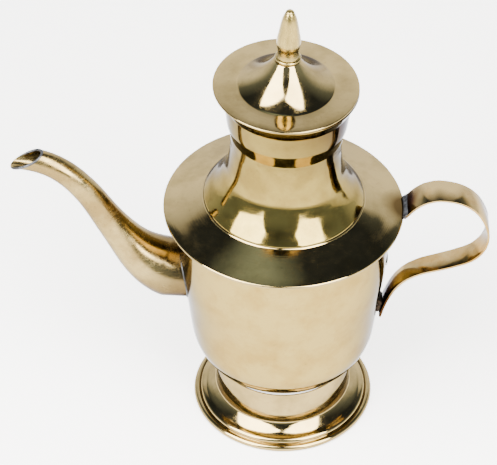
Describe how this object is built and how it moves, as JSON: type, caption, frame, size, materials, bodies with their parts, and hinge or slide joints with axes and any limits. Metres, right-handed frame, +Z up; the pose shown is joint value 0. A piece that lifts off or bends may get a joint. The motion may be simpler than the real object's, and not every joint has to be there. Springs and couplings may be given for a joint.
{
  "type": "dallah coffee pot",
  "caption": "Spun brass coffee pot with a flared foot, wide brim, waisted neck, curved beak spout, looped strap handle and a loose lift-off lid with a tall pointed finial.",
  "frame": {"origin": "centre of the bottom of the pot's box, level with the surface the foot stands on", "axes": "+Z up out of the pot, towards the finial's tip; the spout points along -X and the handle along +X; +Y is the pot's back, away from the viewer's side"},
  "size_m": [0.259, 0.1306, 0.2764],
  "materials": {
    "polished_brass": "polished, with fine wiping scratches",
    "dusky_brass": "polished but slightly tarnished, with turned lines",
    "cast_brass": "filed and buffed casting, satin",
    "strap_brass": "rolled strip, brushed",
    "soft_solder": "dull grey tin solder, wiped",
    "steel_wire": "drawn wire"
  },
  "bodies": {
    "pot": {"foot_pedestal": "polished_brass", "foot_edge_wire": "steel_wire", "foot_seam_solder": "soft_solder", "bowl": "polished_brass", "bowl_seam_solder": "soft_solder", "shoulder_brim": "dusky_brass", "neck_seam_solder": "soft_solder", "neck": "polished_brass", "spout": "polished_brass", "spout_root_solder": "soft_solder", "handle_strap": "strap_brass", "handle_upper_solder": "soft_solder", "handle_lower_solder": "soft_solder"},
    "lid": {"lid_cover": "dusky_brass", "lid_plug": "dusky_brass", "lid_plug_solder": "soft_solder", "finial_ring": "cast_brass", "finial": "cast_brass", "finial_washer": "dusky_brass", "finial_nut": "dusky_brass"}
  },
  "joints": [
    {"name": "lid_lift", "type": "slide", "parent": "pot", "child": "lid", "axis": [0.0297, 0, 0.9996], "range_m": [0, 0.08]}
  ]
}
